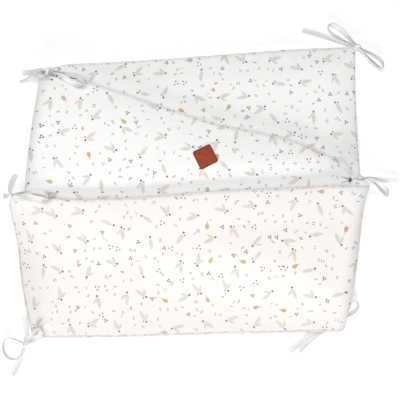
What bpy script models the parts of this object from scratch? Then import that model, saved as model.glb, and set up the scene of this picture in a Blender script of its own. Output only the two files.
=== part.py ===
"""Crib bumper: one padded cotton band, folded flat in three panels, with tape ties and a leather patch.

Metres, +Z up. The band lies on the plane z = 0 with its upper edge towards +Y. Its back panel
lies on the surface, the middle panel slants over it, and the front panel lies on top.
"""
from collections import namedtuple
from math import cos, pi, radians, sin

import bmesh
import bpy
import numpy as np
from mathutils import Matrix, Vector
from mathutils.bvhtree import BVHTree

# The padded band
BAND_LENGTH = 2.040       # filled, from end seam to end seam
BAND_WIDTH = 0.287        # filled, from long seam to long seam
PAD_THICKNESS = 0.033     # at the crown
SEAM_THICKNESS = 0.004    # the two covers and their turned-in edges
SHOULDER = 0.060          # how far in from a seam the pad is still rising
SHOULDER_ROUND = 2.4      # how softly it levels off there
SEAM_STEEP = 0.62         # how steeply it leaves the seam: 0.5 is upright, 1 is a wedge
SIDE_CROWN = 0.90         # pad thickness where the shoulder ends, as a share of the crown
LAYER_GAP = 0.005         # air between two layers of the fold
SETTLE = 0.0025           # how far the pad's own weight flattens its underside
CORNER_RADIUS = 0.008
BACK_END_PULL = 0.004     # how far the middle of the back panel's end seam is drawn in
FRONT_END_PUSH = 0.012    # and how far that of the front panel stands out, as it slides off the stack
END_REACH = 0.12          # how far into the panel that goes
LEFT_EARS = (0.012, 0.012)     # how far the lower and the upper seam stand out at each fold
RIGHT_EARS = (0.007, 0.017)
BACK_END = (0.3248, 0.1709)    # middle of the back panel's free end

# Each panel's direction in plan, from left to right, degrees from +X
BACK_HEADING = 4.0
MIDDLE_HEADING = -17.0
FRONT_HEADING = 2.2
BACK_END_LEAN = -0.035    # how far each free end is out of square, m per m
FRONT_END_LEAN = 0.075
LEFT_FOLD_AT = 0.640      # where the band's middle line starts to turn, from its back end
RIGHT_FOLD_AT = 1.330

# How a layer comes down where the one below it ends: it starts so far inside and lies so far outside
SAG_INSIDE = 0.060
SAG_OUTSIDE = 0.080

# Sections along the band: place, sideways drift, extra width, fullness of the padding
Section = namedtuple("Section", "at drift widen full")
SECTIONS = (
    Section(0.000, -0.001, 0.002, 0.92),
    Section(0.300, 0.002, 0.002, 1.00),
    Section(0.590, 0.000, 0.002, 0.98),
    Section(0.660, -0.011, -0.002, 0.86),
    Section(0.760, -0.008, 0.001, 0.96),
    Section(1.020, -0.013, 0.002, 1.00),
    Section(1.290, -0.013, 0.004, 0.98),
    Section(1.362, -0.040, 0.003, 0.88),
    Section(1.450, -0.045, 0.006, 0.97),
    Section(1.630, -0.044, 0.002, 1.00),
    Section(1.874, -0.046, -0.010, 0.98),
    Section(2.040, -0.040, -0.006, 0.92),
)

# How finely the band is cut up: sections near each end, cells along a panel and round a fold,
# and rows from its middle line (0) to its long seam (1)
END_STEPS = (0.0, 0.002, 0.008, 0.022, 0.042, 0.065)
PANEL_CELLS = 20
FOLD_CELLS = 9
WIDTH_ROWS = (0.0, 0.22, 0.42, 0.60, 0.75, 0.86, 0.94, 0.985, 1.0)

# The leather patch
PATCH_SIDE = 0.039
PATCH_THICKNESS = 0.0016
PATCH_CORNER = 0.0045
PATCH_TURN = 26.5         # of its upper edge, degrees from +X
PATCH_PLACE = (0.0071, 0.0794)

# The tapes
TAPE_WIDTH = 0.011
TAPE_THICKNESS = 0.0012
GATHERED = 0.5            # share of its width that a tape keeps where it leaves the knot
GATHER_REACH = 0.016
KNOT_SIZE = (0.0068, 0.0056, 0.0042)    # half its length, width and height
KNOT_CUTS = (10, 6)       # round it, and from top to bottom
RUNS_APART = 0.0017       # half the distance between a loop's two runs in the knot
TAIL_TWIST = 0.4          # share of a tail's length over which it turns from on edge to lying
CLEARANCE = 0.0010        # of a tape from what it lies on
SEAT_GAP = 0.0004         # between a sewn-on piece and the pad
LOOP_STEPS = 16
TAIL_STEPS = 7

DRAPE_SLOPE = 0.9         # how steeply a tape comes down off an edge
FINER = 4                 # how many times finer than its steps a strand feels for what it lies on

# Each bow: where its knot lies, and whether it lies on the pad or under its overhang
Bow = namedtuple("Bow", "name knot turn on_top")
BOWS = (
    Bow("tie_back_right_top", (0.3256, 0.3169), 140, True),
    Bow("tie_left_fold_top", (-0.3114, 0.2599), 170, True),
    Bow("tie_right_fold_top", (0.3166, 0.0392), -20, True),
    Bow("tie_front_left_top", (-0.3714, 0.0024), 0, True),
    Bow("tie_front_left_bottom", (-0.3638, -0.3018), 40, True),
    Bow("tie_right_fold_bottom", (0.2781, -0.2521), 30, False),
)

# Its strands: direction out of the knot and how far that turns by the end (degrees), length,
# a loop's opening and how much of that it has beside the knot (both 0 for a tail), and roll,
# from 0 lying flat to 90 standing on edge
Strand = namedtuple("Strand", "bow start bend length opening neck roll")
STRANDS = (
    Strand(0, 138, 8, 0.076, 0.019, 0.45, 45),
    Strand(0, -34, -12, 0.070, 0.020, 0.45, 75),
    Strand(0, 156, 12, 0.120, 0.0, 0.0, 12),
    Strand(0, -44, 2, 0.075, 0.0, 0.0, 80),
    Strand(1, -12, -16, 0.088, 0.017, 0.45, 25),
    Strand(1, 178, -4, 0.065, 0.0, 0.0, 20),
    Strand(1, 190, 6, 0.073, 0.0, 0.0, 55),
    Strand(2, 156, -64, 0.054, 0.0, 0.0, 15),
    Strand(2, 0, -40, 0.082, 0.013, 0.45, 55),
    Strand(2, 3, -10, 0.093, 0.0, 0.0, 20),
    Strand(3, 14, -38, 0.076, 0.010, 0.45, 30),
    Strand(3, 114, -50, 0.044, 0.0, 0.0, 20),
    Strand(3, 184, -6, 0.021, 0.0, 0.0, 5),
    Strand(4, 42, -8, 0.058, 0.011, 0.45, 20),
    Strand(4, 203, -22, 0.046, 0.036, 1.60, 85),
    Strand(4, 262, -30, 0.069, 0.0, 0.0, 15),
    Strand(4, 84, 18, 0.058, 0.0, 0.0, 10),
    Strand(5, 14, 26, 0.055, 0.016, 0.45, 45),
    Strand(5, 205, 12, 0.117, 0.0, 0.0, 12),
    Strand(5, 211, 12, 0.101, 0.0, 0.0, 18),
)

COLOURS = {
    "cotton": (0.93, 0.92, 0.90, 1.0),
    "tape": (0.95, 0.95, 0.94, 1.0),
    "leather": (0.46, 0.12, 0.05, 1.0),
}
ROUGHNESS = {"cotton": 0.92, "tape": 0.88, "leather": 0.62}


def heading(degrees):
    return np.array((cos(radians(degrees)), sin(radians(degrees))))


def smooth(value):
    value = np.clip(value, 0.0, 1.0)
    return value * value * (3.0 - 2.0 * value)


def unit(vector):
    return vector / np.linalg.norm(vector)


BEND_RADIUS = (PAD_THICKNESS + LAYER_GAP) / 2     # of the band's middle sheet, at a fold
BACK_ALONG = -heading(BACK_HEADING)               # the way the band runs in each panel
MIDDLE_ALONG = heading(MIDDLE_HEADING)
FRONT_ALONG = -heading(FRONT_HEADING)
BACK_ACROSS = np.array((BACK_ALONG[1], -BACK_ALONG[0]))
MIDDLE_ACROSS = np.array((-MIDDLE_ALONG[1], MIDDLE_ALONG[0]))
LEFT_OUT = unit(BACK_ALONG - MIDDLE_ALONG)        # out of the stack, square to each fold
RIGHT_OUT = unit(MIDDLE_ALONG - FRONT_ALONG)
HALFWAY = (LEFT_FOLD_AT + RIGHT_FOLD_AT) / 2      # the middle of the middle panel


def section_value(at, column):
    """A smooth curve through one column of the section table."""
    places = np.array([row.at for row in SECTIONS])
    values = np.array([getattr(row, column) for row in SECTIONS])
    slopes = np.gradient(values, places)
    slopes[[0, -1]] = 0.0
    at = np.clip(at, places[0], places[-1])
    left = np.clip(np.searchsorted(places, at, side="right") - 1, 0, len(places) - 2)
    span = places[left + 1] - places[left]
    t = (at - places[left]) / span
    rise = 3 * t**2 - 2 * t**3
    return ((1 - rise) * values[left] + rise * values[left + 1]
            + (t**3 - 2 * t**2 + t) * span * slopes[left] + (t**3 - t**2) * span * slopes[left + 1])


def turn_over(plan, anchor, out):
    """Folds points past the anchor back over the layer below; gives places and turned angles."""
    past = np.maximum((plan - anchor) @ out, 0.0)
    angle = np.minimum(past / BEND_RADIUS, pi)
    reach = np.where(angle < pi, BEND_RADIUS * np.sin(angle), pi * BEND_RADIUS - past)
    return plan + (reach - past)[:, None] * out, angle


def on_middle_line(at):
    """Plan place of a point of the band's middle line, on the back or the middle panel."""
    flat = np.array(BACK_END) + at * BACK_ALONG
    return turn_over(flat[None], LEFT_ANCHOR, LEFT_OUT)[0][0]


LEFT_ANCHOR = np.array(BACK_END) + LEFT_FOLD_AT * BACK_ALONG
RIGHT_ANCHOR = on_middle_line(RIGHT_FOLD_AT)
MIDDLE_CENTRE = on_middle_line(HALFWAY)


def fold_lean(out, along, across):
    """How much further along the band a fold line crosses it, for each metre of width."""
    return -(across @ out) / (along @ out)


def station_lean(station):
    """How far a section is out of square: it lies along each fold line in passing."""
    places = (0.0, LEFT_FOLD_AT, RIGHT_FOLD_AT, BAND_LENGTH)
    leans = (BACK_END_LEAN, fold_lean(LEFT_OUT, BACK_ALONG, BACK_ACROSS),
             fold_lean(RIGHT_OUT, MIDDLE_ALONG, MIDDLE_ACROSS), FRONT_END_LEAN)
    return np.interp(station, places, leans)


def lie(at, side):
    """Plan place and the two turned angles of points on the band's middle sheet."""
    plan = np.array(BACK_END) + at[:, None] * BACK_ALONG + side[:, None] * BACK_ACROSS
    plan, left_angle = turn_over(plan, LEFT_ANCHOR, LEFT_OUT)
    folded, right_angle = turn_over(plan, RIGHT_ANCHOR, RIGHT_OUT)
    late = at > HALFWAY
    return np.where(late[:, None], folded, plan), left_angle, np.where(late, right_angle, 0.0)


def held_up(outside):
    """1 where the layer below carries this one, down to 0 where it lies on the surface."""
    return 1.0 - smooth((outside + SAG_INSIDE) / (SAG_INSIDE + SAG_OUTSIDE))


def beside(plan, place, at, along, across):
    """How far points lie outside the long seams of a panel that runs through place."""
    from_place = plan - np.array(place)
    station = at + from_place @ along
    half_width = (BAND_WIDTH + section_value(station, "widen")) / 2
    return np.abs(from_place @ across - section_value(station, "drift")) - half_width


def mid_height(plan, left_angle, right_angle):
    """Height of the band's middle sheet: each turn lifts it one layer, as far as it is held up."""
    past_back_end = (np.array(BACK_END) - plan) @ BACK_ALONG
    beside_back = np.maximum(beside(plan, BACK_END, 0.0, BACK_ALONG, BACK_ACROSS), past_back_end)
    beside_middle = beside(plan, MIDDLE_CENTRE, HALFWAY, MIDDLE_ALONG, MIDDLE_ACROSS)
    lift = ((1 - np.cos(left_angle)) * held_up(beside_back)
            + (1 - np.cos(right_angle)) * held_up(beside_middle))
    return PAD_THICKNESS / 2 - SETTLE + BEND_RADIUS * lift


def rising(inside):
    """The pad's swell from a seam inwards, 0 at the seam to 1 past its shoulder."""
    return (1.0 - (1.0 - np.clip(inside / SHOULDER, 0.0, 1.0)) ** SHOULDER_ROUND) ** SEAM_STEEP


def half_thickness(station, across):
    """Half the pad's thickness; across runs from -1 to 1 between the long seams."""
    from_side = (1.0 - np.abs(across)) * BAND_WIDTH / 2
    from_end = np.minimum(station, BAND_LENGTH - station)
    crown = SIDE_CROWN + (1.0 - SIDE_CROWN) * (1.0 - across**2)
    swell = rising(from_side) * rising(from_end) * crown * section_value(station, "full")
    return (SEAM_THICKNESS + (PAD_THICKNESS - SEAM_THICKNESS) * swell) / 2


def band_points(station, across, face):
    """Points on the band's faces: face is 1 for the print's front, -1 for its back."""
    from_end = np.minimum(station, BAND_LENGTH - station)
    corner = np.clip(1.0 - from_end / CORNER_RADIUS, 0.0, 1.0)
    rounding = CORNER_RADIUS * (1.0 - np.sqrt(1.0 - corner**2))
    half_width = (BAND_WIDTH + section_value(station, "widen")) / 2 - rounding
    side = section_value(station, "drift") + across * half_width
    along = station + station_lean(station) * across * half_width
    shift = np.where(station < HALFWAY, BACK_END_PULL, FRONT_END_PUSH)
    along += shift * (1.0 - across**2) * (1.0 - smooth(from_end / END_REACH))
    plan, left_angle, right_angle = lie(along, side)
    height = mid_height(plan, left_angle, right_angle)
    on_right = right_angle > 0
    upright = np.where(on_right, -np.cos(right_angle), np.cos(left_angle))
    left_turn = np.where(on_right, 0.0, np.sin(left_angle))[:, None] * LEFT_OUT
    right_turn = np.sin(right_angle)[:, None] * RIGHT_OUT
    offset = face * half_thickness(station, across)
    plan = plan + offset[:, None] * (right_turn - left_turn)
    ears = np.where(across > 0, 1, 0)
    left_turn *= np.array(LEFT_EARS)[ears][:, None]
    right_turn *= np.array(RIGHT_EARS)[ears][:, None]
    plan = plan + (across**4)[:, None] * (right_turn + left_turn)
    height = np.maximum(height + offset * upright, 0.0)
    return np.column_stack((plan, height))


def band_stations():
    """Places along the band's middle line, closer together at the seams and round the folds."""
    turn = pi * BEND_RADIUS / (BACK_ALONG @ LEFT_OUT)
    stops = [*END_STEPS, *np.linspace(END_STEPS[-1], LEFT_FOLD_AT, PANEL_CELLS)[1:]]
    stops += list(np.linspace(LEFT_FOLD_AT, LEFT_FOLD_AT + turn, FOLD_CELLS + 1))[1:]
    stops += list(np.linspace(LEFT_FOLD_AT + turn, RIGHT_FOLD_AT, PANEL_CELLS + 1))[1:]
    stops += list(np.linspace(RIGHT_FOLD_AT, RIGHT_FOLD_AT + turn, FOLD_CELLS + 1))[1:]
    stops += list(np.linspace(RIGHT_FOLD_AT + turn, BAND_LENGTH - END_STEPS[-1], PANEL_CELLS))[1:]
    stops += [BAND_LENGTH - step for step in reversed(END_STEPS[:-1])]
    return np.array(stops)


def band_object():
    stations = band_stations()
    half = np.array(WIDTH_ROWS)
    rows = np.concatenate((-half[::-1], half[1:]))
    columns_last, rows_last = len(stations) - 1, len(rows) - 1
    mesh = bmesh.new()
    bmesh.ops.create_grid(mesh, x_segments=columns_last, y_segments=rows_last, size=1.0)
    front = list(mesh.verts)
    station = stations[[round((v.co.x + 1) / 2 * columns_last) for v in front]]
    across = rows[[round((v.co.y + 1) / 2 * rows_last) for v in front]]
    extruded = bmesh.ops.extrude_face_region(mesh, geom=mesh.faces[:])
    back = [item for item in extruded["geom"] if isinstance(item, bmesh.types.BMVert)]
    order = {tuple(v.co): index for index, v in enumerate(front)}
    matching = [order[tuple(v.co)] for v in back]
    for vert, point in zip(back, band_points(station[matching], across[matching], -1.0)):
        vert.co = point
    for vert, point in zip(front, band_points(station, across, 1.0)):
        vert.co = point
    bmesh.ops.recalc_face_normals(mesh, faces=mesh.faces)
    return add_object("bumper", mesh, "cotton")


def top_at(pad, x, y):
    """The pad's highest point at (x, y), or None beside it."""
    return pad.ray_cast(Vector((x, y, 1.0)), Vector((0.0, 0.0, -1.0)))[0]


def patch_object(pad):
    """A square of leather with rounded corners, lying on the pad along its slope."""
    x, y = PATCH_PLACE
    reach = PATCH_SIDE / 2
    right_edge, left_edge = top_at(pad, x + reach, y), top_at(pad, x - reach, y)
    upper_edge, lower_edge = top_at(pad, x, y + reach), top_at(pad, x, y - reach)
    normal = (right_edge - left_edge).cross(upper_edge - lower_edge).normalized()
    along = Vector((*heading(PATCH_TURN), 0.0))
    along = (along - along.dot(normal) * normal).normalized()
    turn = Matrix((along, normal.cross(along), normal)).transposed().to_4x4()
    mesh = bmesh.new()
    bmesh.ops.create_cube(mesh, size=1.0)
    upright = [edge for edge in mesh.edges if edge.verts[0].co.xy == edge.verts[1].co.xy]
    bmesh.ops.scale(mesh, vec=(PATCH_SIDE, PATCH_SIDE, PATCH_THICKNESS), verts=mesh.verts)
    bmesh.ops.bevel(mesh, geom=upright, offset=PATCH_CORNER, segments=4, profile=0.5, affect="EDGES")
    mesh.transform(Matrix.Translation(top_at(pad, x, y)) @ turn)
    deepest = max(top_at(pad, *vert.co.xy).z - vert.co.z for vert in mesh.verts)
    bmesh.ops.translate(mesh, verts=mesh.verts, vec=(0.0, 0.0, deepest + SEAT_GAP))
    return add_object("patch", mesh, "leather")


def height_at(pad, places):
    """Height of the pad's highest point at any of the places, 0 where they all lie beside it."""
    hits = [top_at(pad, *place) for place in places]
    return max([0.0] + [hit.z for hit in hits if hit is not None])


def lying_heights(pad, plan, width):
    """What a strand lies on at each step: the highest point nearby, or a slope down from an edge."""
    steps = np.arange(len(plan))
    fine = np.linspace(0, steps[-1], steps[-1] * FINER + 1)
    places = np.column_stack([np.interp(fine, steps, column) for column in plan.T])
    ahead = np.gradient(places, axis=0)
    ahead /= np.linalg.norm(ahead, axis=1)[:, None]
    edges = np.column_stack((-ahead[:, 1], ahead[:, 0])) * np.interp(fine, steps, width)[:, None] / 2
    tops = np.array([height_at(pad, (place - edge, place, place + edge))
                     for place, edge in zip(places, edges)])
    run = np.concatenate(((0.0,), np.cumsum(np.linalg.norm(np.diff(places, axis=0), axis=1))))
    apart = np.abs(run[::FINER, None] - run[None, :])
    half_step = np.gradient(run[::FINER]).max() / 2
    return (tops - DRAPE_SLOPE * np.maximum(apart - half_step, 0.0)).max(axis=1)


def knot_rest(pad, place):
    """What a knot lies on, or a slope down to it from an edge close by."""
    rests = [height_at(pad, [place])]
    for reach in (KNOT_SIZE[0], 2 * KNOT_SIZE[0]):
        ring = [place + reach * heading(turn) for turn in range(0, 360, 30)]
        rests.append(height_at(pad, ring) - DRAPE_SLOPE * (reach - KNOT_SIZE[0]))
    return max(rests)


def strand_path(strand, knot):
    """Plan places along a strand, with its distance from the knot and its roll at each."""
    steps = LOOP_STEPS if strand.opening else TAIL_STEPS
    along = np.linspace(0.0, 1.0, steps + 1)
    reach = np.sin(pi * along) if strand.opening else along
    turned = np.radians(strand.start + strand.bend * reach / 2)
    out = np.column_stack((np.cos(turned), np.sin(turned)))
    beside = np.column_stack((-out[:, 1], out[:, 0]))
    if strand.opening:
        widening = strand.neck + (1.0 - strand.neck) * reach
        side = strand.opening / 2 * np.sin(2 * pi * along) * widening + RUNS_APART * np.cos(pi * along)
        lying = np.sin(2 * pi * along) ** 2
    else:
        side = np.zeros(steps + 1)
        lying = smooth(along / TAIL_TWIST)
    plan = np.array(knot) + strand.length * reach[:, None] * out + side[:, None] * beside
    return plan, strand.length * reach, 90.0 - (90.0 - strand.roll) * lying


def strand_object(index, strand, pad, knot_height):
    """One run or loop of tape: a strip laid along its path, thickened to both sides."""
    bow = BOWS[strand.bow]
    plan, distance, roll = strand_path(strand, bow.knot)
    width = TAPE_WIDTH * (GATHERED + (1.0 - GATHERED) * smooth(distance / GATHER_REACH))
    upright = np.sin(np.radians(roll))
    under = lying_heights(pad, plan, width) if bow.on_top else np.zeros(len(plan))
    lying = under + CLEARANCE + (width * upright + TAPE_THICKNESS) / 2
    centre = np.column_stack((plan, np.maximum(lying, knot_height - DRAPE_SLOPE * distance)))
    ahead = np.gradient(plan, axis=0)
    ahead /= np.linalg.norm(ahead, axis=1)[:, None]
    level = np.column_stack((-ahead[:, 1], ahead[:, 0])) * np.cos(np.radians(roll))[:, None]
    half = np.column_stack((level, upright)) * width[:, None] / 2
    mesh = bmesh.new()
    bmesh.ops.create_grid(mesh, x_segments=len(plan) - 1, y_segments=1, size=1.0)
    for vert in mesh.verts:
        step = round((vert.co.x + 1) / 2 * (len(plan) - 1))
        vert.co = centre[step] + half[step] * (1 if vert.co.y > 0 else -1)
    return thickened(add_object(f"strand_{index}", mesh, "tape", "tie_shapes"))


def root_object(index, knot, pad):
    """The bit of tape between the knot and the seam that holds it."""
    seam = pad.find_nearest(knot)[0]
    away = (knot - seam).normalized()
    start = seam + away * SEAT_GAP
    along_seam = away.cross(Vector((0.0, 0.0, 1.0))).normalized() * TAPE_WIDTH * GATHERED / 2
    mesh = bmesh.new()
    bmesh.ops.create_grid(mesh, x_segments=1, y_segments=1, size=1.0)
    for vert in mesh.verts:
        vert.co = (start if vert.co.x < 0 else knot) + along_seam * (1 if vert.co.y > 0 else -1)
    return thickened(add_object(f"root_{index}", mesh, "tape", "tie_shapes"))


def thickened(strip):
    solid = strip.modifiers.new("thickness", "SOLIDIFY")
    solid.thickness = TAPE_THICKNESS
    solid.offset = 0.0
    return strip


def bow_object(number, bow, pad):
    """A knot with its loops, tails and root, joined in one piece of tape.

    The strips also cross one another beside the knot, which the Manifold solver joins cleanly.
    """
    under = knot_rest(pad, bow.knot) if bow.on_top else 0.0
    knot = Vector((*bow.knot, under + CLEARANCE + KNOT_SIZE[2]))
    mesh = bmesh.new()
    bmesh.ops.create_uvsphere(mesh, u_segments=KNOT_CUTS[0], v_segments=KNOT_CUTS[1], radius=1.0)
    bmesh.ops.scale(mesh, vec=KNOT_SIZE, verts=mesh.verts)
    mesh.transform(Matrix.Translation(knot) @ Matrix.Rotation(radians(bow.turn), 4, "Z"))
    made = add_object(bow.name, mesh, "tape")
    strips = [strand_object(index, strand, pad, knot.z)
              for index, strand in enumerate(STRANDS) if strand.bow == number]
    strips.append(root_object(number, knot, pad))
    for strip in strips:
        join = made.modifiers.new(strip.name, "BOOLEAN")
        join.operation = "UNION"
        join.solver = "MANIFOLD"
        join.object = strip
        strip.hide_render = True
        strip.display_type = "WIRE"
    return made


def add_object(name, mesh, finish, collection="crib_bumper"):
    data = bpy.data.meshes.new(name)
    mesh.to_mesh(data)
    mesh.free()
    data.materials.append(material(finish))
    made = bpy.data.objects.new(name, data)
    bpy.data.collections[collection].objects.link(made)
    return made


def material(finish):
    made = bpy.data.materials.get(finish)
    if made is None:
        made = bpy.data.materials.new(finish)
        made.use_nodes = True
        shader = made.node_tree.nodes["Principled BSDF"]
        shader.inputs["Base Color"].default_value = COLOURS[finish]
        shader.inputs["Roughness"].default_value = ROUGHNESS[finish]
        shader.inputs["Metallic"].default_value = 0.0
    return made


def main():
    for old in list(bpy.data.objects):
        bpy.data.objects.remove(old)
    for name in ("crib_bumper", "tie_shapes"):
        bpy.context.scene.collection.children.link(bpy.data.collections.new(name))
    band = band_object()
    band.data.shade_smooth()
    bpy.context.view_layer.update()
    pad = BVHTree.FromObject(band, bpy.context.evaluated_depsgraph_get())
    patch_object(pad)
    for number, bow in enumerate(BOWS):
        bow_object(number, bow, pad)


main()
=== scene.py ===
from math import atan2, cos, pi, radians, sin

import bmesh
import bpy
import numpy as np
from mathutils import Matrix, Vector
from mathutils.bvhtree import BVHTree


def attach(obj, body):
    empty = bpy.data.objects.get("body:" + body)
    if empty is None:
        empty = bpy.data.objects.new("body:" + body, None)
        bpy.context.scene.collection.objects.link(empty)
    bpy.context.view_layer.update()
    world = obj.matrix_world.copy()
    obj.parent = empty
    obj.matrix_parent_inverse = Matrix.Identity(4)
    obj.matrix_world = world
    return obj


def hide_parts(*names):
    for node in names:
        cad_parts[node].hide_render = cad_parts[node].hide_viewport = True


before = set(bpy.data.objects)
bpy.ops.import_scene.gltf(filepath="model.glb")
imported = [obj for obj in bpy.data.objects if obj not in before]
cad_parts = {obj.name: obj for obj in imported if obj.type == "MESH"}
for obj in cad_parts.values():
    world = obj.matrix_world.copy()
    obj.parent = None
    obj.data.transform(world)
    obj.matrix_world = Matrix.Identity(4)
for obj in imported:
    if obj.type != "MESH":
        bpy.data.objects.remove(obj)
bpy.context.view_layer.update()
print("frame loaded:", len(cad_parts), "solids")


# ---- camera, light and floor ----

studio = {
    "lens": 50.0,
    "elevation": 88.0,  # of the camera above the floor, degrees
    "distance": 1.16,
    "lookAt": (-0.0034, -0.0036, 0.0),
    "floorSize": 24.0,
    "floorColour": (0.96, 0.96, 0.96),
    "floorGlow": 0.09,
    "floorClouds": (3.0, 0.99),  # scale, and share of the darker tone
    "floorDrop": 0.0005,  # below what lies on it
    "sky": (1.0, 1.0, 1.0),
    "skyStrength": 0.05,
    "skySeen": 0.80,  # behind the floor, in views from the side
}
lamps = {
    # place, aimed at, size, watts, colour
    "overhead": ((-0.2, 0.30, 2.3), (0.0, 0.0, 0.0), 2.2, 59.0, (1.0, 0.998, 0.995)),
    "front": ((0.1, -2.4, 1.10), (0.0, -0.1, 0.0), 1.0, 35.0, (1.0, 0.980, 0.970)),
}


def linked(name, data):
    made = bpy.data.objects.new(name, data)
    bpy.context.scene.collection.objects.link(made)
    return made


def aimed(name, data, place, aim):
    made = linked(name, data)
    made.location = place
    made.rotation_euler = (Vector(aim) - Vector(place)).to_track_quat("-Z", "Y").to_euler()
    return made


def setUpStudio():
    scene = bpy.context.scene
    scene.view_settings.view_transform = "Standard"
    lens = bpy.data.cameras.new("camera")
    lens.lens, lens.sensor_width = studio["lens"], 36.0
    tilt = radians(studio["elevation"])
    back = Vector((0.0, -cos(tilt), sin(tilt))) * studio["distance"]
    look = Vector(studio["lookAt"])
    scene.camera = aimed("camera", lens, look + back, look)
    for name, (place, aim, size, watts, colour) in lamps.items():
        lamp = bpy.data.lights.new(name, "AREA")
        lamp.size, lamp.energy, lamp.color = size, watts, colour
        aimed(name, lamp, place, aim)
    world = bpy.data.worlds.new("sky")
    world.use_nodes = True
    sky = world.node_tree.nodes["Background"]
    sky.inputs["Color"].default_value = (*studio["sky"], 1.0)
    seen = wired("LightPath", {}, world.node_tree).outputs["Is Camera Ray"]
    strength = ramped(seen, 0.0, 1.0, studio["skyStrength"], studio["skySeen"])
    feed(sky.inputs["Strength"], strength)
    scene.world = world


# ---- small helpers ----

def smoothStep(value):
    value = np.clip(value, 0.0, 1.0)
    return value * value * (3.0 - 2.0 * value)


def heading(degrees):
    return np.array((cos(radians(degrees)), sin(radians(degrees))))


def unit(vector):
    return vector / np.linalg.norm(vector)


def ripple(places, size, seed):
    # Smooth repeatable unevenness between about -1 and 1, with bumps of about this size
    waves, count = np.random.RandomState(seed), 9
    total = np.zeros(len(places))
    for _ in range(count):
        way = waves.uniform(0, 2 * pi)
        length = size * waves.uniform(0.8, 2.2)
        toward = np.array((cos(way), sin(way)))
        total += np.sin(places @ toward * 2 * pi / length + waves.uniform(0, 2 * pi))
    return 2 * total / count


def makeObject(name, mesh, finish):
    data = bpy.data.meshes.new(name)
    mesh.to_mesh(data)
    mesh.free()
    data.materials.append(materials[finish])
    return linked(name, data)


def finishPiece(name, mesh, finish, node):
    # Makes the object and fixes it to the frame in place of its solid
    made = makeObject(name, mesh, finish)
    made.data.shade_smooth()
    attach(made, "root")
    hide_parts(node)
    return made


def smoothed(made):
    smooth = made.modifiers.new("smooth", "SUBSURF")
    smooth.levels = smooth.render_levels = 1


def thickened(made, thickness, offset):
    thick = made.modifiers.new("thickness", "SOLIDIFY")
    thick.thickness, thick.offset = thickness, offset


# ---- node groups ----

def newGroup(name, inputs, outputs):
    tree = bpy.data.node_groups.new(name, "ShaderNodeTree")
    kinds = {"vector": "NodeSocketVector", "number": "NodeSocketFloat", "colour": "NodeSocketColor"}
    for way, sockets in (("INPUT", inputs), ("OUTPUT", outputs)):
        for label, kind in sockets.items():
            tree.interface.new_socket(label, in_out=way, socket_type=kinds[kind])
    return tree.nodes.new("NodeGroupInput").outputs, tree.nodes.new("NodeGroupOutput").inputs


def isSocket(value):
    return isinstance(value, bpy.types.NodeSocket)


def feed(socket, value):
    if isSocket(value):
        socket.id_data.links.new(value, socket)
    else:
        socket.default_value = value


def wired(kind, inputs, tree=None, **settings):
    # Adds a node with these settings and inputs to the tree, which is found from a linked input
    tree = tree or next(value.id_data for value in inputs.values() if isSocket(value))
    node = tree.nodes.new("ShaderNode" + kind)
    for label, value in settings.items():
        setattr(node, label, value)
    for label, value in inputs.items():
        feed(node.inputs[label], value)
    return node


def calc(operation, *values, clamped=False):
    return wired("Math", dict(enumerate(values)), operation=operation, use_clamp=clamped).outputs[0]


def chain(operation):
    # The function that carries this operation on over all its values
    def chained(first, *others):
        for other in others:
            first = calc(operation, first, other)
        return first
    return chained


times, plus, minus, either, above, below = [
    chain(name) for name in ("MULTIPLY", "ADD", "SUBTRACT", "MAXIMUM", "GREATER_THAN", "LESS_THAN")]


def unsigned(value):
    return calc("ABSOLUTE", value)


def calcVector(operation, *values):
    node = wired("VectorMath", dict(enumerate(values)), operation=operation)
    return node.outputs["Value" if operation in ("LENGTH", "DISTANCE") else "Vector"]


def ramped(value, low, high, start=0.0, end=1.0):
    return wired("MapRange", {"Value": value, "From Min": low, "From Max": high,
                              "To Min": start, "To Max": end}).outputs["Result"]


def painted(share, under, over):
    under, over = [value if isSocket(value) else (*value, 1.0) for value in (under, over)]
    # 6, 7 and 2 are the sockets for colours, among those of other kinds with the same names
    return wired("Mix", {0: share, 6: under, 7: over}, data_type="RGBA").outputs[2]


def apart(vector):
    return wired("SeparateXYZ", {0: vector}).outputs[:2]


def joined(x, y):
    return wired("CombineXYZ", {"X": x, "Y": y}).outputs[0]


def grainy(vector, scale, detail=2.0, roughness=0.5):
    return wired("TexNoise", {"Vector": vector, "Scale": scale, "Detail": detail,
                              "Roughness": roughness}).outputs["Fac"]


def mottled(vector, scale, *ramp):
    return ramped(grainy(vector, scale), *ramp)


def spun(vector, angle):
    inputs = {"Vector": vector, "Angle": angle}
    return wired("VectorRotate", inputs, rotation_type="Z_AXIS").outputs[0]


def placed(group, **values):
    return wired("Group", values, node_tree=bpy.data.node_groups[group]).outputs


weaving = {
    "slub": (30.0, 260.0),  # how closely thick stretches follow, along and across
    "shade": (0.6, 1.4),
}


def buildWeave():
    # Plain weave: warp and weft pass over one another in turn, each thread a little uneven
    given, result = newGroup("plainWeave", {"Vector": "vector", "Threads": "number"},
                             {"Height": "number", "Shade": "number"})
    cloth = given["Vector"]
    scaled = calcVector("SCALE", cloth)
    feed(scaled.node.inputs["Scale"], given["Threads"])
    x, y = apart(scaled)
    cell = plus(calc("FLOOR", x), calc("FLOOR", y))
    over = unsigned(calc("MODULO", cell, 2.0))
    warp, weft = [unsigned(calc("SINE", times(axis, pi))) for axis in (x, y)]
    height = plus(times(warp, over), times(weft, minus(1.0, over)))
    slubs = plus(*[grainy(calcVector("MULTIPLY", cloth, (*stretch, 1.0)), 1.0)
                   for stretch in (weaving["slub"], weaving["slub"][::-1])])
    feed(result["Height"], plus(height, slubs))
    feed(result["Shade"], ramped(slubs, *weaving["shade"]))


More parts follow.
